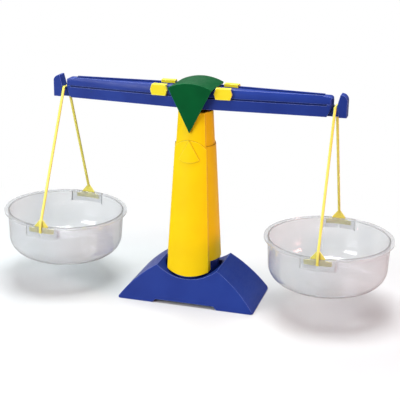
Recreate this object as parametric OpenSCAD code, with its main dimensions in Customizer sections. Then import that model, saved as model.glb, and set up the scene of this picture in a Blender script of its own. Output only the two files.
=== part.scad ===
/* [Base] */
// Length of the base along the beam
base_len = 155.8; // [130:0.2:180]
// Depth of the base at the floor
base_dep = 78.2; // [70:0.2:90]
// Depth of the base at the height of its two ridges
ridge_dep = 60; // [56:0.5:68]
// Distance between the two ridges
ridge_gap = 68.8; // [64:0.2:76]
// Height of the ridges
ridge_z = 42; // [38:0.5:50]
// Height of the saddle between the ridges, at the middle
saddle_z = 29.5; // [27:0.5:34]
// How far the end slopes bulge outwards
slope_bulge = 3; // [1:0.5:6]
// Height of the end edge at the floor
tip_h = 1.2; // [0.8:0.1:3]
// Radius of the base's corners in plan
base_corner_r = 4; // [1:0.5:8]
// Wall of the base shell
base_wall = 2.6; // [2:0.1:3.2]
// Length of the relief under the base, between its feet
relief_len = 73.8; // [50:0.2:84]
// Height of the relief under the base
relief_h = 3.6; // [2:0.1:6]
// Thickness of the ribs under the base
base_rib = 2; // [1.2:0.1:3]

/* [Socket] */
// Radius of the socket that the column stands over
socket_r = 32.2; // [31:0.1:32.8]
// Height of the socket floor
socket_z = 24; // [20:0.5:26]
// Top of the spigot that carries the column
spigot_z = 60; // [54:1:80]
// Clearance between spigot and column
spigot_gap = 0.2; // [0.1:0.05:0.4]

/* [Column] */
// Radius of the column, carried down to the floor
column_r = 33; // [31:0.1:34]
// Loss of radius for each millimetre of height
column_taper = 0.06; // [0.04:0.005:0.07]
// Top of the column
column_top = 214.3; // [205:0.1:214.6]
// Wall of the column
column_wall = 2.4; // [1.8:0.1:2.8]
// How far the front and back panels stand proud
panel_proud = 2; // [1:0.1:3]
// Half width of each panel, carried down to the floor
panel_half_w = 25.2; // [22:0.1:27]
// Radius that curves the front of each panel, carried down to the floor
panel_curve_r = 46; // [38:1:80]
// Bottom of the panels at their middle
panel_z = 33; // [31:0.5:40]
// Radius of the arc along the panels' bottom edge
panel_foot_r = 61; // [55:1:120]
// Bottom of the column's sides
side_z = 48.5; // [44:0.5:54]
// Top of the wider part of the sides
shoulder_z = 177; // [170:0.5:180]
// How far the neck is set in
neck_in = 1.2; // [0.6:0.1:1.4]
// Radius of the arch that tops each panel
arch_r = 20.6; // [19:0.1:24]
// Top of the arch
arch_z = 184.8; // [178:0.2:188]

/* [Level mark] */
// Tip of the raised level mark under the pointer
mark_z = 185; // [176:0.5:186]
// Radius of the mark
mark_r = 24; // [18:0.5:28]
// Half angle of the mark
mark_half_angle = 29; // [22:1:34]
// How far the mark stands out of the panel
mark_proud = 1.2; // [0.4:0.1:1.6]

/* [Pivot] */
// Height of the pivot axis
pivot_z = 232.5; // [231.8:0.1:233]
// Radius of the pivot pin
pin_r = 2; // [1.5:0.1:2.4]
// Running clearance of the pin in its bearings
pin_gap = 0.05; // [0.02:0.01:0.08]
// Clearance of the pin in the beam's bosses
pin_seat_gap = 0.02; // [0.01:0.01:0.05]
// Length of the pin
pin_len = 31.6; // [29:0.1:32]
// Top of the carrier's disc in the column
carrier_z = 209.5; // [200:0.5:211]
// Thickness of the carrier's disc
carrier_t = 3.5; // [2.5:0.1:5]
// Distance between the carrier's two ears
ear_gap = 12.4; // [9:0.1:14]
// Thickness of each ear
ear_t = 4; // [3:0.1:5]
// Width of each ear at its foot
ear_foot_w = 16; // [14:0.5:20]
// Width of each ear at its top
ear_top_w = 12; // [11:0.5:13]
// Width of the bearing shoe in each ear
shoe_w = 8; // [6.5:0.1:8.6]
// How deep a shoe reaches below the pivot
shoe_below = 4.5; // [3.5:0.1:6]
// How far ear and shoe reach above the pivot
shoe_above = 1.5; // [1:0.1:1.8]

/* [Beam] */
// Half length of the beam, to the outer face of the end lugs
beam_half = 162.7; // [159:0.1:175]
// Underside of the beam
beam_z = 218.1; // [217.6:0.1:219]
// Height of the beam
beam_h = 22; // [21.6:0.1:23]
// Half depth of the beam at the middle
beam_mid = 16.9; // [16.4:0.1:18]
// Half depth of the beam at the lugs
beam_end = 6; // [5.4:0.1:8]
// Wall of the beam below the groove
beam_wall = 3; // [2.6:0.1:3.2]
// Height of the groove above the underside
groove_up = 11.5; // [10:0.1:12]
// Height of the groove
groove_h = 1.6; // [1.2:0.1:2]
// Depth of the groove
groove_deep = 1.8; // [1.4:0.1:1.9]
// How far the wall above the groove is set in
rail_in = 0.6; // [0.3:0.1:0.8]
// Height of the sloping shoulder on the rails
rail_slope_h = 4.3; // [3:0.1:5]
// Width of that shoulder
rail_slope_w = 1.6; // [1:0.1:1.8]
// Depth of the tray between the rails
tray_deep = 2.1; // [1.8:0.1:2.3]
// Thickness of the beam's top
beam_top_t = 2.5; // [2:0.1:3]
// Length of the solid nose, from the tray to the hanger notch
nose_len = 12.6; // [11:0.2:20]
// Distance from the end of the groove to the hanger notch
groove_stop = 8.6; // [8:0.2:12]
// Half length of the open well round the pivot
well_half = 14; // [12:0.5:15]
// Thickness of the cross ribs
beam_rib = 1.6; // [1.2:0.1:2.2]
// Spacing of the cross ribs
rib_step = 24; // [18:1:26]
// How far the ribs stop short of the underside
rib_up = 4; // [2:0.5:8]

/* [Beam ends] */
// Distance of the hanger notch from the outer face of the lug
hook_in = 12.1; // [11:0.1:13]
// Height of the hanger pivots
hook_z = 228.4; // [227:0.1:229]
// Half depth of the web under the notch
web_half = 2.2; // [1.6:0.1:2.6]
// Half width of the notch at the top, towards the middle
notch_in = 2.6; // [2.2:0.1:3]
// Half width of the notch at the top, towards the lug
notch_out = 5; // [3.6:0.1:5.2]
// Height of the lug's tip above the beam
lug_up = 1.7; // [1:0.1:3]
// Radius that rounds the lug's outer shoulder
lug_r = 6.8; // [5:0.1:8]
// How far the beam's nose lies below its rails
nose_down = 1; // [0.4:0.1:2]
// Radius that rounds the top of the nose
nose_r = 4.2; // [1:0.1:5]
// Radius that rounds the nose's corners in plan
nose_side_r = 4.6; // [2:0.1:4.8]

/* [Pointer cap] */
// Height of the cap's curved top over the beam's top
cap_over = 6.2; // [5.8:0.1:7]
// Radius from the tip to the curved top
cap_r = 52.9; // [52.4:0.1:54]
// Half angle of the cap
cap_half_angle = 26.8; // [24:0.2:27]
// Half depth of the cap
cap_half = 24.8; // [24.6:0.1:27]
// Wall of the cap
cap_t = 2.2; // [1.8:0.1:2.2]
// Distance of the cap's screw bosses from its side edges
cap_boss_in = 4.85; // [4.3:0.05:5.2]
// Radius of the bosses
cap_boss_r = 3.2; // [2.8:0.1:3.4]

/* [Riders] */
// Length of a rider's square body
rider_body = 15.6; // [12:0.1:17]
// Length of each pointed end of its face
rider_point = 1.8; // [0.5:0.1:2]
// Thickness of a rider's face
rider_t = 2.9; // [2:0.1:3.4]
// Clearance of a rider on its rail
rider_gap = 0.3; // [0.2:0.05:0.35]
// Place of the front left rider, from the middle
rider_front_left_x = 36.7; // [33.9:0.1:60]
// Place of the front right rider
rider_front_right_x = 33.9; // [33.9:0.1:60]
// Place of the back left rider
rider_back_left_x = 34.9; // [33.9:0.1:60]
// Place of the back right rider
rider_back_right_x = 36; // [33.9:0.1:60]

/* [Hangers] */
// Radius of the bar that hangs in the notch
bar_r = 1.3; // [1:0.05:1.5]
// Running clearance of the bar in the notch
bar_gap = 0.08; // [0.03:0.01:0.1]
// Half length of the bar
bar_half = 6; // [5:0.1:6.4]
// Width of a leg
leg_w = 2.8; // [2:0.1:3]
// Thickness of a leg
leg_t = 2.4; // [1.8:0.1:2.6]
// Width of the flared foot
foot_w = 15; // [10:0.5:20]
// Height of the flared foot over the rim
foot_h = 7; // [4:0.5:12]
// Thickness of the foot
foot_t = 1.7; // [1.2:0.1:1.8]
// Width of the tab inside the rim
tab_w = 28; // [18:1:34]
// Height of the tab
tab_h = 5.2; // [2.5:0.1:7]
// How far the toe reaches below the rim
toe_down = 6.6; // [5:0.1:8]
// How far the left hanger swings outwards in this pose
left_swing = 1.8; // [-6:0.1:12]

/* [Pans] */
// Radius of the pan over its rim
pan_r = 70; // [66:0.5:72]
// Height of the rim
pan_rim_z = 85.1; // [80:0.1:90]
// Depth of the pan
pan_deep = 50.5; // [40:0.5:56]
// Width of the rim outside the body
rim_w = 4; // [3.6:0.1:6]
// Loss of radius from the rim to the bottom
pan_draft = 1.3; // [0.5:0.1:5]
// Radius of the corner between wall and bottom
pan_corner_r = 20; // [8:0.5:26]
// Wall of the pan
pan_wall = 1.5; // [1:0.1:2]
// Height of the pocket that holds the hanger's foot under the rim
pocket_h = 12.5; // [9:0.5:16]
// Wall of the pocket
pocket_t = 1.2; // [0.8:0.1:1.3]
// How far the rim stands out over the pocket
rim_over = 0.2; // [0.1:0.1:0.4]
// Room in the pocket beside each end of the tab
pocket_room = 2.5; // [1:0.5:5]
// Width of the slit that goes on below the toe
slit_w = 1.8; // [1.2:0.1:2.6]
// Clearance of the hanger's foot in the rim
foot_gap = 0.3; // [0.1:0.05:0.5]

/* [Screws] */
// Shank radius of the screws
screw_r = 1.5; // [1.2:0.1:1.8]
// Head radius
screw_head_r = 2.9; // [2.4:0.1:3.2]
// Head height
screw_head_h = 1.8; // [1.2:0.1:2.2]
// Clearance round the shanks
screw_gap = 0.05; // [0.02:0.01:0.1]
// Distance of the column's screws from its axis
column_screw_x = 12; // [8:0.5:16]
// Length of the column's screw shanks
column_screw_len = 12; // [8:0.5:14]
// Length of the cap's screw shanks
cap_screw_len = 5; // [4:0.1:5.4]

/* [Hidden] */
$fn = 96;
far = 400;
eps = 0.01;
blue = "#2f459c";
yellow = "#f6d80a";
pale_yellow = "#f2ee5c";
green = "#04703a";
steel = "#a9adb3";
clear_grey = "#d6d8dc";

// Base: each end slope is an arc through its ridge and its edge at the floor
ridge_x = ridge_gap / 2;
slope_run = base_len / 2 - ridge_x;
slope_drop = ridge_z - tip_h;
slope_chord = norm([slope_run, slope_drop]);
slope_r = (slope_chord * slope_chord / 4 + slope_bulge * slope_bulge) / (2 * slope_bulge);
slope_cx = ridge_x + slope_run / 2 - (slope_r - slope_bulge) * slope_drop / slope_chord;
slope_cz = tip_h + slope_drop / 2 - (slope_r - slope_bulge) * slope_run / slope_chord;
saddle_drop = ridge_z - saddle_z;
saddle_r = (ridge_x * ridge_x + saddle_drop * saddle_drop) / (2 * saddle_drop);
lean = (base_dep - ridge_dep) / 2 / ridge_z;

// Column
function column_radius(z) = column_r - column_taper * z;
apex_z = (column_r + panel_proud) / column_taper;
neck_wall_in = neck_in + column_wall;
screw_boss_r = screw_r + 2.2;

// Beam
wall_angle = atan((beam_mid - beam_end) / beam_half);
hook_x = beam_half - hook_in;
tray_end = hook_x - nose_len;
groove_end = hook_x - groove_stop;
beam_top = beam_z + beam_h;
groove_z = beam_z + groove_up;
tray_z = beam_top - tray_deep;
roof_z = tray_z - beam_top_t;
notch_r = bar_r + bar_gap;
leg_room = leg_w / 2 + 0.5;
cap_tip_z = beam_top + cap_over - cap_r;
cap_edge_x = cap_r * sin(cap_half_angle);
cap_boss_x = cap_edge_x - cap_boss_in;
rail_start = cap_edge_x + 0.6;
lug_top = beam_top + lug_up;
nose_x = hook_x - notch_in;
boss_r = pin_r + 2.2;
boss_y = ear_gap / 2 + ear_t + 0.4;

// Hangers and pans
pan_body_r = pan_r - rim_w;
pan_foot_r = pan_body_r - pan_draft;
flange_t = pan_wall;
foot_y = pan_body_r + foot_gap + 0.3;
leg_top_y = bar_half;
leg_foot_z = pan_rim_z + foot_h;
leg_foot_y = foot_y + foot_t / 2;
leg_angle = atan((leg_foot_y - leg_top_y) / (hook_z - leg_foot_z));
leg_len = norm([leg_foot_y - leg_top_y, hook_z - leg_foot_z]);
toe_y = pan_r + 0.6;
slot_w = (tab_w + foot_w) / 2 + 2 * foot_gap;
pocket_half = tab_w / 2 + pocket_room;

module rounded_rect(w, d, r) {
    square([w - 2 * r, d], center = true);
    square([w, d - 2 * r], center = true);
    for (x = [-1, 1], y = [-1, 1]) translate([x * (w / 2 - r), y * (d / 2 - r)]) circle(r);
}

// A shape drawn in the X-Z plane and run along Y
module along_y(depth) {
    rotate([90, 0, 0]) linear_extrude(depth, center = true) children();
}

module slab(z0, z1) {
    translate([0, 0, z0]) linear_extrude(z1 - z0) children();
}

// Two copies, on the left and on the right
module both_x() {
    for (s = [0, 1]) mirror([s, 0, 0]) children();
}

module both_y() {
    for (s = [0, 1]) mirror([0, s, 0]) children();
}

// End slopes of the base in front view, drawn in by a wall thickness
module slope_profile(t) {
    intersection() {
        translate([-base_len / 2, -2]) square([base_len, ridge_z + 4]);
        translate([slope_cx, slope_cz]) circle(slope_r - t, $fn = 256);
        translate([-slope_cx, slope_cz]) circle(slope_r - t, $fn = 256);
    }
}

module base_front_view(t) {
    difference() {
        slope_profile(t);
        translate([0, saddle_z + saddle_r]) circle(saddle_r + t, $fn = 192);
    }
}

// Side view of the base: its front and back lean inwards
module base_side_view(t) {
    half = base_dep / 2 - t;
    polygon([[-half - lean, -1], [half + lean, -1],
             [half - lean * (ridge_z + 3), ridge_z + 3], [-half + lean * (ridge_z + 3), ridge_z + 3]]);
}

module base_form(t) {
    intersection() {
        along_y(far) base_front_view(t);
        rotate([90, 0, 90]) linear_extrude(far, center = true) base_side_view(t);
        slab(-2, ridge_z + 2) rounded_rect(base_len + 0.2, base_dep - 2 * t + 0.4, base_corner_r);
    }
}

// The column's cone, larger or smaller by an offset
module column_cone(offset_r, z0, z1) {
    translate([0, 0, z0])
        cylinder(h = z1 - z0, r1 = column_radius(z0) + offset_r, r2 = column_radius(z1) + offset_r);
}

module base() {
    cup_r = socket_r + column_wall;
    cup_z = socket_z - base_wall;
    color(blue) difference() {
        union() {
            difference() {
                base_form(0);
                difference() {
                    base_form(base_wall);
                    translate([0, 0, cup_z]) cylinder(h = far, r = cup_r);
                    for (x = [-1, 1]) translate([x * base_len / 4, 0, ridge_z / 2])
                        cube([base_len / 2, base_rib, ridge_z + 4], center = true);
                }
                translate([0, 0, socket_z]) cylinder(h = far, r = socket_r);
            }
            column_cone(-column_wall - spigot_gap, socket_z - base_wall / 2, spigot_z);
        }
        // The spigot is hollow from below and closed at its top
        column_cone(-2 * column_wall - spigot_gap, -1, spigot_z - base_wall);
        for (x = [-1, 1]) translate([x * column_screw_x, 0, spigot_z - 2 * base_wall])
            cylinder(h = 3 * base_wall, r = screw_r + screw_gap);
        // Relief between the feet
        along_y(far) polygon([[-relief_len / 2 - 1, -1], [relief_len / 2 + 1, -1],
            [relief_len / 2 - relief_h, relief_h], [-relief_len / 2 + relief_h, relief_h]]);
        translate([0, 0, -far / 2]) cube([far, far, far], center = true);
    }
}

// Wide cone whose nearest side is the front of a panel; it leans back to share the column's apex
module panel_cone(t) {
    spread = atan(panel_curve_r / apex_z);
    tilt = spread - atan(column_taper);
    above = apex_z - column_top - 20;
    below = apex_z + 20;
    translate([0, 0, apex_z]) rotate([180 + tilt, 0, 0]) translate([0, 0, above])
        cylinder(h = below - above, r1 = above * tan(spread) - t, r2 = below * tan(spread) - t);
}

// Tapered bar with a panel's curved front, drawn in by a wall thickness, at front and back
module panel_bar(t) {
    top_half_w = panel_half_w * (1 - column_top / apex_z);
    both_y() intersection() {
        panel_cone(t);
        translate([0, -column_r / 4, 0]) rotate([90, 0, 0]) linear_extrude(far)
            polygon([[-panel_half_w + t, 0], [panel_half_w - t, 0],
                     [top_half_w - t, column_top], [-top_half_w + t, column_top]]);
    }
}

// Front view of a panel: arched at its top, its foot cut along an arc
module panel_view() {
    wide = panel_half_w + 5;
    intersection() {
        union() {
            translate([0, arch_z - arch_r]) circle(arch_r);
            translate([-wide, 0]) square([2 * wide, arch_z - arch_r]);
        }
        union() {
            translate([0, panel_z + panel_foot_r]) circle(panel_foot_r, $fn = 192);
            translate([-wide, panel_z + panel_foot_r]) square([2 * wide, far]);
        }
    }
}

// The mark is a slice of a disc that stands on the panel with its tip up
module mark_view() {
    intersection() {
        translate([0, mark_z]) circle(mark_r);
        polygon([[0, mark_z], [-2 * mark_r * sin(mark_half_angle), mark_z - 2 * mark_r * cos(mark_half_angle)],
                 [2 * mark_r * sin(mark_half_angle), mark_z - 2 * mark_r * cos(mark_half_angle)]]);
    }
}

module column() {
    panel_end = arch_z - arch_r;
    color(yellow) {
        difference() {
            union() {
                column_cone(0, side_z, shoulder_z);
                column_cone(-neck_in, shoulder_z - 10, column_top);
                intersection() {
                    panel_bar(0);
                    along_y(far) panel_view();
                }
                intersection() {
                    panel_bar(neck_in);
                    slab(panel_end, column_top + 1) square(far, center = true);
                }
                intersection() {
                    panel_bar(-mark_proud);
                    along_y(far) mark_view();
                }
            }
            column_cone(-neck_wall_in, panel_z - 2, column_top + 1);
            column_cone(-column_wall, panel_z - 2, shoulder_z - 4);
            intersection() {
                panel_bar(column_wall);
                slab(panel_z - 2, panel_end - 2) square(far, center = true);
            }
        }
        // Cross floor with two screw bosses, which stands on the spigot
        difference() {
            union() {
                column_cone(-column_wall + 0.1, spigot_z, spigot_z + base_wall);
                for (x = [-1, 1]) translate([x * column_screw_x, 0, spigot_z])
                    cylinder(h = column_screw_len + 2, r = screw_boss_r);
            }
            for (x = [-1, 1]) translate([x * column_screw_x, 0, spigot_z - 1])
                cylinder(h = column_screw_len, r = screw_r + screw_gap);
        }
        // Ledge that carries the pivot carrier
        difference() {
            column_cone(-neck_wall_in + 0.1, carrier_z - carrier_t - 3, carrier_z - carrier_t);
            cylinder(h = far, r = column_radius(carrier_z) - neck_wall_in - 2.5);
        }
    }
}

module screw(len) {
    translate([0, 0, -screw_head_h]) difference() {
        cylinder(h = screw_head_h, r = screw_head_r);
        translate([0, 0, -eps]) for (a = [0, 90]) rotate([0, 0, a])
            translate([-screw_head_r * 0.6, -0.35, 0]) cube([screw_head_r * 1.2, 0.7, screw_head_h / 2]);
    }
    cylinder(h = len, r = screw_r);
}

module column_screws() {
    color(steel) both_x() translate([column_screw_x, 0, spigot_z - base_wall]) screw(column_screw_len);
}

module ear_view() {
    top = pivot_z + shoe_above;
    difference() {
        polygon([[-ear_foot_w / 2, carrier_z - 1], [ear_foot_w / 2, carrier_z - 1],
                 [ear_top_w / 2, top], [-ear_top_w / 2, top]]);
        translate([-shoe_w / 2, pivot_z - shoe_below]) square([shoe_w, far]);
    }
}

module pivot_carrier() {
    disc_r = column_radius(carrier_z) - neck_wall_in - spigot_gap;
    color(yellow) {
        translate([0, 0, carrier_z - carrier_t]) cylinder(h = carrier_t, r = disc_r);
        both_y() translate([0, (ear_gap + ear_t) / 2, 0]) along_y(ear_t) ear_view();
        // Web that ties the two ears together
        translate([-1.5, -ear_gap / 2 - eps, carrier_z - eps])
            cube([3, ear_gap + 2 * eps, pivot_z - shoe_below - 4 - carrier_z]);
    }
}

module bearing_shoe(side) {
    translate([0, side * (ear_gap + ear_t) / 2, 0]) along_y(ear_t) difference() {
        translate([-shoe_w / 2, pivot_z - shoe_below]) square([shoe_w, shoe_below + shoe_above]);
        translate([0, pivot_z]) circle(pin_r + pin_gap);
        translate([-pin_r - pin_gap, pivot_z]) square([2 * (pin_r + pin_gap), far]);
    }
}

module bearing_front() {
    color(steel) bearing_shoe(-1);
}

module bearing_back() {
    color(steel) bearing_shoe(1);
}

// Plan of the beam, a long rhombus with blunt ends, drawn in by a distance square to its walls
module beam_plan(inset) {
    d = inset / cos(wall_angle);
    polygon([[-beam_half, beam_end - d], [0, beam_mid - d], [beam_half, beam_end - d],
             [beam_half, -beam_end + d], [0, -beam_mid + d], [-beam_half, -beam_end + d]]);
}

// Side view of one half of the beam, with its lug and without the notch
module beam_half_view() {
    nose_top = beam_top - nose_down;
    translate([-1, beam_z]) square([tray_end + 1, beam_h]);
    difference() {
        translate([0, beam_z]) square([hook_x - 1, nose_top - beam_z]);
        translate([nose_x - nose_r, nose_top - nose_r]) difference() {
            square([nose_r + notch_in + 1, nose_r + 1]);
            circle(nose_r);
        }
    }
    translate([hook_x - 1.5, beam_z]) square([beam_half - hook_x + 1.5, lug_top - lug_r - beam_z]);
    intersection() {
        translate([beam_half - lug_r, lug_top - lug_r]) circle(lug_r);
        translate([hook_x, beam_z]) square([beam_half - hook_x, far]);
    }
}

module notch_view() {
    top = lug_top - hook_z;
    translate([hook_x, hook_z]) {
        circle(notch_r);
        polygon([[-notch_r, 0], [-notch_in, 2], [-notch_in, top + 1],
                 [notch_out, top + 1], [notch_r, 0]]);
    }
}

// Room for the hanger's legs on both sides of the web
module leg_room_view() {
    drop = hook_z - beam_z + 1;
    translate([hook_x, hook_z]) polygon([[-leg_room - 1, 1.2], [leg_room, 1.2],
        [leg_room + 2.4, -drop], [-leg_room - 7, -drop]]);
}

// Tilted cut along one rail, from the middle towards one end
module rail_slope() {
    translate([0, beam_mid - rail_in / cos(wall_angle), beam_top - rail_slope_h])
        rotate([0, 0, -wall_angle]) rotate([atan(rail_slope_w / rail_slope_h), 0, 0])
            cube([hook_x, 6, 9]);
}

// What is cut off a vertical corner of the nose
module nose_corner() {
    translate([nose_x, beam_mid - nose_x * tan(wall_angle)]) rotate(-wall_angle)
        translate([-nose_side_r, -nose_side_r]) difference() {
            square([nose_side_r + 0.8, nose_side_r + 3]);
            circle(nose_side_r);
        }
}

module beam() {
    groove_start = boss_r + 12;
    color(blue) difference() {
        union() {
            difference() {
                intersection() {
                    slab(beam_z, lug_top + 1) beam_plan(0);
                    along_y(far) both_x() beam_half_view();
                }
                // Hollow from below, with cross ribs
                difference() {
                    slab(beam_z - 1, roof_z) intersection() {
                        beam_plan(beam_wall);
                        square([2 * tray_end, far], center = true);
                    }
                    both_x() for (x = [well_half : rib_step : tray_end])
                        translate([x, -far / 2, beam_z + rib_up]) cube([beam_rib, far, far]);
                }
                // Well round the pivot
                slab(roof_z - 1, far) intersection() {
                    beam_plan(beam_wall);
                    square([2 * well_half, far], center = true);
                }
                // Tray between the rails, and the flat under the cap
                slab(tray_z, far) intersection() {
                    beam_plan(beam_wall);
                    square([2 * tray_end, far], center = true);
                }
                translate([-rail_start, -far / 2, tray_z]) cube([2 * rail_start, far, far]);
                // Walls above the groove are set in and slope at the top
                slab(groove_z + groove_h, far) difference() {
                    square([2 * hook_x, far], center = true);
                    beam_plan(rail_in);
                }
                both_x() both_y() rail_slope();
                both_x() both_y() slab(beam_z - 1, far) nose_corner();
                both_x() slab(groove_z, groove_z + groove_h + eps) difference() {
                    translate([groove_start, -far / 2]) square([groove_end - groove_start, far]);
                    beam_plan(groove_deep);
                }
                // Notch, and room for the legs beside the web
                along_y(far) both_x() notch_view();
                both_y() translate([0, web_half + far / 2, 0]) along_y(far) both_x() leg_room_view();
            }
            // Bosses inside the walls that hold the pin
            both_y() translate([0, beam_mid - beam_wall + 0.5, pivot_z]) rotate([90, 0, 0])
                cylinder(h = beam_mid - beam_wall + 0.5 - boss_y, r = boss_r);
        }
        translate([0, 0, pivot_z]) rotate([90, 0, 0])
            cylinder(h = pin_len + 0.4, r = pin_r + pin_seat_gap, center = true);
        both_x() translate([cap_boss_x, 0, roof_z - 1])
            cylinder(h = beam_top_t + 2, r = screw_r + screw_gap);
    }
}

module pivot_pin() {
    chamfer = 0.4;
    color(steel) translate([0, 0, pivot_z]) rotate([90, 0, 0]) {
        cylinder(h = pin_len - 2 * chamfer, r = pin_r, center = true);
        for (s = [0, 1]) mirror([0, 0, s]) translate([0, 0, pin_len / 2 - chamfer])
            cylinder(h = chamfer, r1 = pin_r, r2 = pin_r - chamfer);
    }
}

module cap_slice(r) {
    intersection() {
        circle(r, $fn = 160);
        polygon([[0, 0], [-2 * r * sin(cap_half_angle), 2 * r * cos(cap_half_angle)],
                 [2 * r * sin(cap_half_angle), 2 * r * cos(cap_half_angle)]]);
    }
}

module pointer_cap() {
    color(green) difference() {
        union() {
            translate([0, 0, cap_tip_z]) {
                both_y() translate([0, cap_half - cap_t / 2, 0]) along_y(cap_t) cap_slice(cap_r);
                along_y(2 * cap_half - eps) difference() {
                    cap_slice(cap_r);
                    circle(cap_r - cap_t, $fn = 160);
                }
            }
            both_x() intersection() {
                translate([cap_boss_x, 0, tray_z]) cylinder(h = 9, r = cap_boss_r);
                translate([0, 0, cap_tip_z]) along_y(far) circle(cap_r - cap_t / 2, $fn = 160);
            }
        }
        both_x() translate([cap_boss_x, 0, tray_z - 1])
            cylinder(h = cap_screw_len - beam_top_t + 1.2, r = screw_r + screw_gap);
    }
}

module cap_screws() {
    color(steel) both_x() translate([cap_boss_x, 0, roof_z]) screw(cap_screw_len);
}

// A rider in the frame of its rail: X along the wall, Y out of it, Z up
module rider_form() {
    z0 = groove_z + rider_gap;
    z1 = beam_top + rider_gap + 1.2;
    lip = groove_h - 2 * rider_gap;
    face = -rail_in + rider_gap;
    inner = -beam_wall - rider_gap;
    half = rider_body / 2;
    // Face plate with pointed ends
    translate([0, face + rider_t / 2, 0]) along_y(rider_t)
        polygon([[-half, z0], [half, z0], [half + rider_point, (z0 + z1) / 2], [half, z1],
                 [-half, z1], [-half - rider_point, (z0 + z1) / 2]]);
    // Top that reaches over the rail, its hook in the tray and the lip in the groove
    translate([-half, inner - 1.4, z1 - 1.2]) cube([rider_body, face + 0.2 - inner + 1.4, 1.2]);
    translate([-half, inner - 1.4, tray_z + rider_gap]) cube([rider_body, 1.4, z1 - tray_z - rider_gap]);
    translate([-half, rider_gap - groove_deep, z0])
        cube([rider_body, face + 0.2 - rider_gap + groove_deep, lip]);
}

module rider(x, mirror_x, mirror_y) {
    color(pale_yellow) mirror([mirror_x, 0, 0]) mirror([0, mirror_y, 0])
        translate([x, beam_mid - x * tan(wall_angle), 0]) rotate([0, 0, -wall_angle]) rider_form();
}

module rider_front_left() {
    rider(rider_front_left_x, 1, 1);
}

module rider_front_right() {
    rider(rider_front_right_x, 0, 1);
}

module rider_back_left() {
    rider(rider_back_left_x, 1, 0);
}

module rider_back_right() {
    rider(rider_back_right_x, 0, 0);
}

// Ring segment about the pan's axis, on the +Y side
module rim_arc(r0, r1, width) {
    a = asin(width / 2 / r0);
    intersection() {
        difference() {
            circle(r1);
            circle(r0);
        }
        polygon([[0, 0], [-2 * r1 * sin(a), 2 * r1 * cos(a)], [2 * r1 * sin(a), 2 * r1 * cos(a)]]);
    }
}

module hanger_foot() {
    under = pan_rim_z - flange_t - foot_gap;
    // Flared plate that follows the rim
    intersection() {
        translate([0, foot_y, 0]) along_y(foot_w)
            polygon([[-foot_w / 2, under - 1], [foot_w / 2, under - 1], [foot_w / 2, pan_rim_z + 0.8],
                     [leg_w / 2, leg_foot_z + 1.5], [-leg_w / 2, leg_foot_z + 1.5],
                     [-foot_w / 2, pan_rim_z + 0.8]]);
        slab(under - 1, leg_foot_z + 2) rim_arc(foot_y, foot_y + foot_t, foot_w + 2);
    }
    slab(under - tab_h, under) rim_arc(foot_y, foot_y + foot_t, tab_w);
    // Toe that comes down in the gap of the pocket
    translate([0, (foot_y + toe_y) / 2, 0]) translate([-leg_w / 2, -(toe_y - foot_y) / 2, pan_rim_z - toe_down])
        cube([leg_w, toe_y - foot_y, toe_down + 2]);
    translate([-leg_w / 2, 0, 0]) rotate([90, 0, 90]) linear_extrude(leg_w)
        polygon([[foot_y, leg_foot_z + 1], [foot_y, pan_rim_z + 1], [toe_y, pan_rim_z + 1],
                 [toe_y, pan_rim_z + 2.5], [foot_y + foot_t, leg_foot_z + 1]]);
}

module hanger() {
    translate([0, 0, hook_z]) rotate([90, 0, 0]) cylinder(h = 2 * bar_half, r = bar_r, center = true);
    both_y() {
        translate([0, leg_top_y, hook_z]) {
            sphere(bar_r + 0.1, $fn = 32);
            rotate([180 + leg_angle, 0, 0]) linear_extrude(leg_len) rounded_rect(leg_w, leg_t, 0.7);
        }
        hanger_foot();
    }
}

module pan() {
    difference() {
        rotate_extrude() {
            difference() {
                pan_half_view(0);
                pan_half_view(pan_wall);
            }
            translate([pan_body_r - pan_wall, pan_rim_z - flange_t])
                square([pan_r - pan_body_r + pan_wall, flange_t]);
        }
        both_y() {
            // Slot for the foot, the gap for the toe and the slit below it
            slab(pan_rim_z - flange_t - 0.2, pan_rim_z + 1)
                rim_arc(foot_y - foot_gap, foot_y + foot_t + foot_gap, slot_w);
            translate([-leg_w / 2 - foot_gap, foot_y, pan_rim_z - toe_down - foot_gap])
                cube([leg_w + 2 * foot_gap, far, toe_down + 2]);
        }
    }
    both_y() foot_pocket();
}

// Plan of a pocket: its front follows the rim and its ends slant in to the body
module pocket_plan(t) {
    low = pan_body_r - 12;
    high = pan_r + 2;
    intersection() {
        circle(pan_r - rim_over - t);
        polygon([[-pocket_half - 7 + t, low], [-pocket_half + t, high],
                 [pocket_half - t, high], [pocket_half + 7 - t, low]]);
    }
}

// Pocket under the rim, open below, that the hanger's foot goes into
module foot_pocket() {
    difference() {
        slab(pan_rim_z - pocket_h, pan_rim_z - flange_t / 2) difference() {
            pocket_plan(0);
            pocket_plan(pocket_t);
            circle(pan_body_r - pan_wall / 2);
        }
        translate([-leg_w / 2 - foot_gap, foot_y, pan_rim_z - toe_down - foot_gap])
            cube([leg_w + 2 * foot_gap, far, toe_down + 2]);
        translate([-slit_w / 2, foot_y, pan_rim_z - pocket_h - 1]) cube([slit_w, far, pocket_h]);
    }
}

// Right half of the pan's section: tapered wall, round corner, flat bottom
module pan_half_view(t) {
    z0 = pan_rim_z - pan_deep;
    r = pan_corner_r;
    intersection() {
        union() {
            polygon([[0, z0 + r], [pan_foot_r - t, z0 + r], [pan_body_r - t, pan_rim_z + t],
                     [0, pan_rim_z + t]]);
            translate([0, z0 + t]) square([pan_foot_r - r, r]);
            translate([pan_foot_r - r, z0 + r]) circle(r - t);
        }
        square([pan_r, far]);
    }
}

// Places what hangs in the left notch
module left_hanging() {
    translate([-hook_x, 0, hook_z]) rotate([0, left_swing, 0]) translate([0, 0, -hook_z]) children();
}

module hanger_left() {
    color(pale_yellow) left_hanging() hanger();
}

module hanger_right() {
    color(pale_yellow) translate([hook_x, 0, 0]) hanger();
}

module pan_left() {
    color(clear_grey) left_hanging() pan();
}

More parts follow.
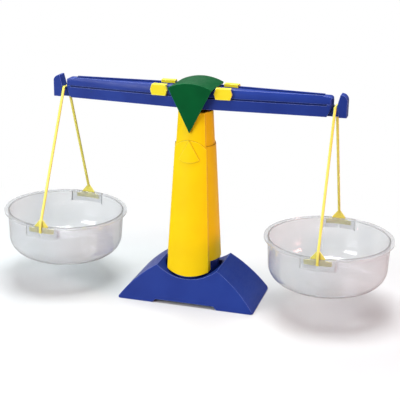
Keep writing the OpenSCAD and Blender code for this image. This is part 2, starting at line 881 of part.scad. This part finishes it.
module pan_right() {
    color(clear_grey) translate([hook_x, 0, 0]) pan();
}

base();
column();
column_screws();
pivot_carrier();
bearing_front();
bearing_back();
beam();
pivot_pin();
pointer_cap();
cap_screws();
rider_front_left();
rider_front_right();
rider_back_left();
rider_back_right();
hanger_left();
hanger_right();
pan_left();
pan_right();
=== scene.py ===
import math

import bpy
from mathutils import Matrix, Vector


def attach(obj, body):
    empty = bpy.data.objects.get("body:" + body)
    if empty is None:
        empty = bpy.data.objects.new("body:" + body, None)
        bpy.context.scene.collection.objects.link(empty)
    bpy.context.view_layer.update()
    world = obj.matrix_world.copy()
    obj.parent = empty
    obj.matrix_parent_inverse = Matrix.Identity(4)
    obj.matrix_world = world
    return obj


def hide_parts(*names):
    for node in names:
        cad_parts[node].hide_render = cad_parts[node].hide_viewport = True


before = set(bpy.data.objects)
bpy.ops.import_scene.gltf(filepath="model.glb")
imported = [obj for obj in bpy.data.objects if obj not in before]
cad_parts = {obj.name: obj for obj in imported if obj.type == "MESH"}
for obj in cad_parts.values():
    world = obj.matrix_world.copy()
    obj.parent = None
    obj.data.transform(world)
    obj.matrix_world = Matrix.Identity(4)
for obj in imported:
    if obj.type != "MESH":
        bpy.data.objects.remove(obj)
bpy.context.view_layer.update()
mm = 0.001


# Materials

abs_ior = 1.53
styrene_ior = 1.59
edge_radius = 0.7 * mm    # how far a moulded edge is shown rounded
corner_reach = 2.5 * mm   # how far the shade of an inner corner reaches
flow_size = 0.045         # clouds that the melt's flow leaves in the colour, in metres
scuff_size = 0.011
haze_size = 0.03
rub_size = 0.006
drawing_size = 0.0004


def srgb(code):
    """Hex colour as the linear values that the shaders take."""
    parts = [int(code[i:i + 2], 16) / 255 for i in (1, 3, 5)]
    linear = [c / 12.92 if c <= 0.04045 else ((c + 0.055) / 1.055) ** 2.4 for c in parts]
    return (*linear, 1.0)


def add(tree, kind, settings=None, links=None):
    """Adds a node; settings go to its properties and inputs, links to its inputs."""
    node = tree.nodes.new(kind)
    for key, value in (settings or {}).items():
        if isinstance(key, str) and hasattr(node, key):
            setattr(node, key, value)
        else:
            node.inputs[key].default_value = value
    for key, source in (links or {}).items():
        tree.links.new(source, node.inputs[key])
    return node


def ramp(tree, source, stops):
    """Colour ramp through the given (place, colour) stops."""
    node = add(tree, "ShaderNodeValToRGB", links={"Fac": source})
    line = node.color_ramp.elements
    while len(line) < len(stops):
        line.new(0.5)
    for stop, (place, colour) in zip(line, stops):
        stop.position = place
        stop.color = colour
    return node


def new_material(name):
    """An empty node material, with its tree and its output."""
    material = bpy.data.materials.new(name)
    material.use_nodes = True
    tree = material.node_tree
    tree.nodes.clear()
    output = tree.nodes.new("ShaderNodeOutputMaterial")
    return material, tree, output


def moulded_abs(name, colour, cool, pale, edge_highlight_and_wear, roughness, grain_mm, grain_depth_mm, gloss):
    """Injection-moulded ABS: an even dyed colour with faint flow clouds, a fine spark-eroded
    grain that breaks up the gloss, small handling scuffs, and edges rounded by the mould.
    Convex edges are painted paler, a painted highlight that also stands for handling wear,
    and inner corners are darkened with painted shade."""
    material, tree, output = new_material(name)
    place = add(tree, "ShaderNodeTexCoord").outputs["Object"]
    flow = add(tree, "ShaderNodeTexNoise", {"Scale": 1 / flow_size, "Detail": 3.0, "Roughness": 0.5},
               {"Vector": place})
    tone = ramp(tree, flow.outputs["Fac"], [(0.3, srgb(cool)), (0.5, srgb(colour)), (0.72, srgb(pale))])
    grain = add(tree, "ShaderNodeTexNoise", {"Scale": 1000 / grain_mm, "Detail": 2.0, "Roughness": 0.6},
                {"Vector": place})
    scuff_place = add(tree, "ShaderNodeMapping", {"Scale": (1.0, 1.0, 6.0)}, {"Vector": place})
    scuff = add(tree, "ShaderNodeTexNoise", {"Scale": 1 / scuff_size, "Detail": 8.0, "Roughness": 0.72},
                {"Vector": scuff_place.outputs["Vector"]})
    # Scuffs leave the surface between a little glossier and clearly duller than the fresh one
    worn = add(tree, "ShaderNodeMapRange", {"From Min": 0.42, "From Max": 0.74,
                                            "To Min": roughness - 0.05, "To Max": roughness + 0.14},
               {"Value": scuff.outputs["Fac"]})
    # Convex edges are painted paler: a painted highlight where light catches the rounded edge, which also
    # stands for handling wear; an edge is where the rounded normal leaves the true one
    rounded = add(tree, "ShaderNodeBevel", {"samples": 6, "Radius": edge_radius})
    true_normal = add(tree, "ShaderNodeNewGeometry").outputs["Normal"]
    facing = add(tree, "ShaderNodeVectorMath", {"operation": "DOT_PRODUCT"},
                 {0: rounded.outputs["Normal"], 1: true_normal})
    at_edge = add(tree, "ShaderNodeMapRange", {"From Min": 0.995, "From Max": 0.87,
                                               "To Min": 0.0, "To Max": 1.0},
                  {"Value": facing.outputs["Value"]})
    # Inner corners get painted shade, the colour darkened where occlusion is found, and never get the pale
    # edge
    open_air = add(tree, "ShaderNodeAmbientOcclusion", {"samples": 8, "only_local": True,
                                                        "Distance": corner_reach})
    outer = add(tree, "ShaderNodeMapRange", {"From Min": 0.75, "From Max": 0.97},
                {"Value": open_air.outputs["AO"]})
    edge_highlight_and_wear_mask = add(tree, "ShaderNodeMath", {"operation": "MULTIPLY"},
                  {0: at_edge.outputs["Result"], 1: outer.outputs["Result"]})
    painted_corner_shade = ramp(tree, open_air.outputs["AO"], [(0.35, (0.45, 0.45, 0.45, 1)), (0.9, (1, 1, 1, 1))])
    shaded = add(tree, "ShaderNodeMixRGB", {"blend_type": "MULTIPLY", "Fac": 1.0},
                 {"Color1": tone.outputs["Color"], "Color2": painted_corner_shade.outputs["Color"]})
    # Mixes the painted edge highlight, which also stands for handling wear, into the colour
    skin = add(tree, "ShaderNodeMixRGB", {"Color2": srgb(edge_highlight_and_wear)},
               {"Fac": edge_highlight_and_wear_mask.outputs["Value"], "Color1": shaded.outputs["Color"]})
    bump = add(tree, "ShaderNodeBump", {"Strength": 0.3, "Distance": grain_depth_mm * mm},
               {"Height": grain.outputs["Fac"], "Normal": rounded.outputs["Normal"]})
    surface = add(tree, "ShaderNodeBsdfPrincipled", {"IOR": abs_ior, "Specular IOR Level": gloss},
                  {"Base Color": skin.outputs["Color"], "Roughness": worn.outputs["Result"],
                   "Normal": bump.outputs["Normal"]})
    tree.links.new(surface.outputs["BSDF"], output.inputs["Surface"])
    return material


def clear_styrene(name):
    """Thin moulded polystyrene: see-through with a faint milky haze and fine rubbing marks from
    stacking. Its walls bend light, which draws darker and brighter lines along rim and corners."""
    material, tree, output = new_material(name)
    place = add(tree, "ShaderNodeTexCoord").outputs["Object"]
    haze = add(tree, "ShaderNodeTexNoise", {"Scale": 1 / haze_size, "Detail": 4.0, "Roughness": 0.6},
               {"Vector": place})
    tone = ramp(tree, haze.outputs["Fac"], [(0.3, srgb("#ebeef0")), (0.75, srgb("#f4f6f8"))])
    rub_place = add(tree, "ShaderNodeMapping", {"Scale": (1.0, 1.0, 9.0)}, {"Vector": place})
    rub = add(tree, "ShaderNodeTexNoise", {"Scale": 1 / rub_size, "Detail": 9.0, "Roughness": 0.75},
              {"Vector": rub_place.outputs["Vector"]})
    worn = add(tree, "ShaderNodeMapRange", {"From Min": 0.4, "From Max": 0.75, "To Min": 0.06, "To Max": 0.2},
               {"Value": rub.outputs["Fac"]})
    bump = add(tree, "ShaderNodeBump", {"Strength": 0.2, "Distance": 0.05 * mm},
               {"Height": rub.outputs["Fac"]})
    surface = add(tree, "ShaderNodeBsdfPrincipled", {"IOR": styrene_ior, "Transmission Weight": 0.81},
                  {"Base Color": tone.outputs["Color"], "Roughness": worn.outputs["Result"],
                   "Normal": bump.outputs["Normal"]})
    tree.links.new(surface.outputs["BSDF"], output.inputs["Surface"])
    return material


def drawn_steel(name):
    """Bright drawn steel: a plain metal with fine drawing lines along the pin."""
    material, tree, output = new_material(name)
    place = add(tree, "ShaderNodeTexCoord").outputs["Object"]
    lines_place = add(tree, "ShaderNodeMapping", {"Scale": (1.0, 0.04, 1.0)}, {"Vector": place})
    lines = add(tree, "ShaderNodeTexNoise", {"Scale": 1 / drawing_size, "Detail": 3.0},
                {"Vector": lines_place.outputs["Vector"]})
    tone = ramp(tree, lines.outputs["Fac"], [(0.3, srgb("#9ea2a8")), (0.7, srgb("#b9bcc1"))])
    rough = add(tree, "ShaderNodeMapRange", {"To Min": 0.22, "To Max": 0.38}, {"Value": lines.outputs["Fac"]})
    surface = add(tree, "ShaderNodeBsdfPrincipled", {"Metallic": 1.0},
                  {"Base Color": tone.outputs["Color"], "Roughness": rough.outputs["Result"]})
    tree.links.new(surface.outputs["BSDF"], output.inputs["Surface"])
    return material


# In each call below, the pale edge colour is a painted highlight that also stands for handling wear
# Dyed through and moulded in a lightly eroded tool, which gives an even satin blue
blue_abs = moulded_abs(
    "moulded_abs_blue", colour="#1f388c", cool="#1c3384", pale="#233e94", edge_highlight_and_wear="#7f93e0",
    roughness=0.36, grain_mm=0.35, grain_depth_mm=0.006, gloss=0.16)
# The same satin in the column's deep yellow, a little duller over its long flat panels
yellow_abs = moulded_abs(
    "moulded_abs_deep_yellow", colour="#fad600", cool="#f7d000", pale="#fddc00", edge_highlight_and_wear="#fff25a",
    roughness=0.40, grain_mm=0.35, grain_depth_mm=0.006, gloss=0.16)
# Small clips from a smoother tool, the glossiest of the dyed pieces
bright_yellow_abs = moulded_abs(
    "moulded_abs_bright_yellow", colour="#f8e41c", cool="#f4de18", pale="#fbea2a", edge_highlight_and_wear="#fffcae",
    roughness=0.34, grain_mm=0.3, grain_depth_mm=0.005, gloss=0.3)
# Thin hangers with the riders' fine grain, in a paler dye and a little duller
pale_yellow_abs = moulded_abs(
    "moulded_abs_pale_yellow", colour="#e8de62", cool="#e2d758", pale="#ede46e", edge_highlight_and_wear="#f6f1b0",
    roughness=0.38, grain_mm=0.3, grain_depth_mm=0.005, gloss=0.3)
# The coarsest grain; its gloss is set low, since the photo's green has no pale veil on top
green_abs = moulded_abs(
    "moulded_abs_green", colour="#005028", cool="#004824", pale="#005a2c", edge_highlight_and_wear="#2f8f5c",
    roughness=0.38, grain_mm=0.4, grain_depth_mm=0.008, gloss=0.06)
pan_styrene = clear_styrene("moulded_styrene_clear")
bright_steel = drawn_steel("drawn_steel")


# The object

smooth_angle = 32
merge_gap = 0.00001


def dress(node, material):
    """A smooth-shaded copy of a CAD node, with its loose triangles joined."""
    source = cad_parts[node]
    piece = bpy.data.objects.new(node + "_shell", source.data.copy())
    bpy.context.scene.collection.objects.link(piece)
    bpy.ops.object.select_all(action="DESELECT")
    bpy.context.view_layer.objects.active = piece
    piece.select_set(True)
    bpy.ops.object.mode_set(mode="EDIT")
    bpy.ops.mesh.select_all(action="SELECT")
    bpy.ops.mesh.remove_doubles(threshold=merge_gap)
    bpy.ops.mesh.customdata_custom_splitnormals_clear()
    bpy.ops.object.mode_set(mode="OBJECT")
    bpy.ops.object.shade_smooth_by_angle(angle=math.radians(smooth_angle))
    piece.data.materials.clear()
    piece.data.materials.append(material)
    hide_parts(node)
    return piece


# Each node with the body it rides, its material and its material slot
finishes = {
    "base": ("stand", blue_abs, "blue_plastic"),
    "column": ("stand", yellow_abs, "yellow_plastic"),
    "column_screws": ("stand", bright_steel, "steel"),
    "pivot_carrier": ("stand", yellow_abs, "yellow_plastic"),
    "bearing_front": ("stand", bright_steel, "steel"),
    "bearing_back": ("stand", bright_steel, "steel"),
    "beam": ("beam", blue_abs, "blue_plastic"),
    "pivot_pin": ("beam", bright_steel, "steel"),
    "pointer_cap": ("beam", green_abs, "green_plastic"),
    "cap_screws": ("beam", bright_steel, "steel"),
    "rider_front_left": ("rider_front_left", bright_yellow_abs, "bright_yellow_plastic"),
    "rider_front_right": ("rider_front_right", bright_yellow_abs, "bright_yellow_plastic"),
    "rider_back_left": ("rider_back_left", bright_yellow_abs, "bright_yellow_plastic"),
    "rider_back_right": ("rider_back_right", bright_yellow_abs, "bright_yellow_plastic"),
    "hanger_left": ("hanger_left", pale_yellow_abs, "pale_yellow_plastic"),
    "hanger_right": ("hanger_right", pale_yellow_abs, "pale_yellow_plastic"),
    "pan_left": ("hanger_left", pan_styrene, "clear_plastic"),
    "pan_right": ("hanger_right", pan_styrene, "clear_plastic"),
}
for node, (body, material, slot) in finishes.items():
    piece = dress(node, material)
    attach(piece, body)


# Floor, light and camera

floor_size = 8.0
floor_drop = 0.0002      # keeps the floor just under the base's edge
through_share = 0.74     # how much of the white backdrop shows through the clear pans
mirrored_share = 0.15    # how much of it a glossy surface mirrors
ambient = 0.12           # the world's light on the object
white = (1, 1, 1, 1)


def seen_white(tree, rays):
    """1 where the camera looks, through_share where it looks through a pan, and 0 for light."""
    through = add(tree, "ShaderNodeMath", {"operation": "MULTIPLY", 1: through_share},
                  {0: rays.outputs["Is Transmission Ray"]})
    return add(tree, "ShaderNodeMath", {"operation": "MAXIMUM"},
               {0: rays.outputs["Is Camera Ray"], 1: through.outputs["Value"]})


bpy.ops.object.select_all(action="DESELECT")
bpy.ops.mesh.primitive_plane_add(size=floor_size, location=(0, 0, -floor_drop))
floor = bpy.context.object
floor.name = "studio_floor"
# Matt pale studio paper: it takes the object's soft shadows and fades to plain white around them
floor_paper, tree, output = new_material("studio_floor_paper")
rays = add(tree, "ShaderNodeLightPath")
place = add(tree, "ShaderNodeTexCoord").outputs["Object"]
seen = seen_white(tree, rays)
tone = ramp(tree, seen.outputs["Value"], [(0.0, srgb("#b4b4b4")), (1.0, srgb("#d2d7d9"))])
paper = add(tree, "ShaderNodeBsdfDiffuse", links={"Color": tone.outputs["Color"]})
reach = add(tree, "ShaderNodeVectorMath", {"operation": "LENGTH"}, {0: place})
lift_round = add(tree, "ShaderNodeMapRange", {"From Min": 0.34, "From Max": 0.62,
                                              "To Min": 0.0, "To Max": 1.0},
                 {"Value": reach.outputs["Value"]})
axes = add(tree, "ShaderNodeSeparateXYZ", links={"Vector": place})
lift_back = add(tree, "ShaderNodeMapRange", {"interpolation_type": "SMOOTHSTEP",
                                             "From Min": 0.08, "From Max": 0.30},
                {"Value": axes.outputs["Y"]})
lift_far = add(tree, "ShaderNodeMath", {"operation": "MAXIMUM"},
               {0: lift_round.outputs["Result"], 1: lift_back.outputs["Result"]})
lift_level = add(tree, "ShaderNodeMath", {"operation": "MULTIPLY"},
                 {0: seen.outputs["Value"], 1: lift_far.outputs["Value"]})
lift = add(tree, "ShaderNodeEmission", {"Color": white, "Strength": 1.0})
both = add(tree, "ShaderNodeMixShader", links={0: lift_level.outputs["Value"], 1: paper.outputs["BSDF"],
                                                2: lift.outputs["Emission"]})
tree.links.new(both.outputs["Shader"], output.inputs["Surface"])
floor.data.materials.append(floor_paper)

world = bpy.data.worlds.new("studio")
bpy.context.scene.world = world
world.use_nodes = True
tree = world.node_tree
tree.nodes.clear()
rays = add(tree, "ShaderNodeLightPath")
seen = seen_white(tree, rays)
mirrored = add(tree, "ShaderNodeMath", {"operation": "MULTIPLY", 1: mirrored_share},
               {0: rays.outputs["Is Glossy Ray"]})
shown = add(tree, "ShaderNodeMath", {"operation": "MAXIMUM"},
            {0: seen.outputs["Value"], 1: mirrored.outputs["Value"]})
level = add(tree, "ShaderNodeMapRange", {"To Min": ambient, "To Max": 1.0}, {"Value": shown.outputs["Value"]})
sky = add(tree, "ShaderNodeBackground", {"Color": white}, {"Strength": level.outputs["Result"]})
output = tree.nodes.new("ShaderNodeOutputWorld")
tree.links.new(sky.outputs["Background"], output.inputs["Surface"])


def softbox(name, place, aim, size, power, colour=(1.0, 1.0, 1.0)):
    """A square studio lamp at place, turned towards aim; size in metres, power in watts."""
    lamp = bpy.data.lights.new(name, "AREA")
    lamp.shape = "SQUARE"
    lamp.size = size
    lamp.energy = power
    lamp.color = colour
    holder = bpy.data.objects.new(name, lamp)
    bpy.context.scene.collection.objects.link(holder)
    holder.location = place
    holder.rotation_mode = "QUATERNION"
    holder.rotation_quaternion = (Vector(place) - Vector(aim)).to_track_quat("Z", "Y")
    return holder


softbox("key_light", place=(-0.80, -1.15, 0.60), aim=(0, 0, 0.14), size=0.7, power=14.5)
softbox("top_light", place=(0.05, -0.05, 1.5), aim=(0, 0, 0.1), size=0.75, power=24)
softbox("back_light", place=(-0.50, 1.00, 1.30), aim=(0, 0, 0.12), size=0.7, power=8.5)
# Warms the shaded right side, as the photo's orange column side shows
softbox("warm_fill", place=(1.25, -0.30, 0.36), aim=(0, 0, 0.14), size=0.36, power=8.2,
        colour=(1.0, 0.40, 0.35))

# The camera was fitted to the photo: angles in radians, focal length in pixels of the picture
azimuth = 0.28377
elevation = 0.31761
roll = 0.01256
camera_place = (0.30047, -1.01042, 0.45788)
focal_pixels = 1003.3
picture_pixels = 400
sensor_width = 36
camera = bpy.data.cameras.new("photo_camera")
holder = bpy.data.objects.new("photo_camera", camera)
bpy.context.scene.collection.objects.link(holder)
back = Vector((math.sin(azimuth) * math.cos(elevation), -math.cos(azimuth) * math.cos(elevation),
               math.sin(elevation)))
right = Vector((0, 0, 1)).cross(back).normalized()
up = back.cross(right)
right_rolled = math.cos(roll) * right + math.sin(roll) * up
up_rolled = math.cos(roll) * up - math.sin(roll) * right
turn = Matrix((right_rolled, up_rolled, back)).transposed()
holder.matrix_world = Matrix.Translation(camera_place) @ turn.to_4x4()
camera.sensor_width = sensor_width
camera.lens = focal_pixels * sensor_width / picture_pixels
camera.clip_start = 0.05
camera.clip_end = 50
bpy.context.scene.camera = holder
bpy.context.scene.view_settings.view_transform = "Standard"
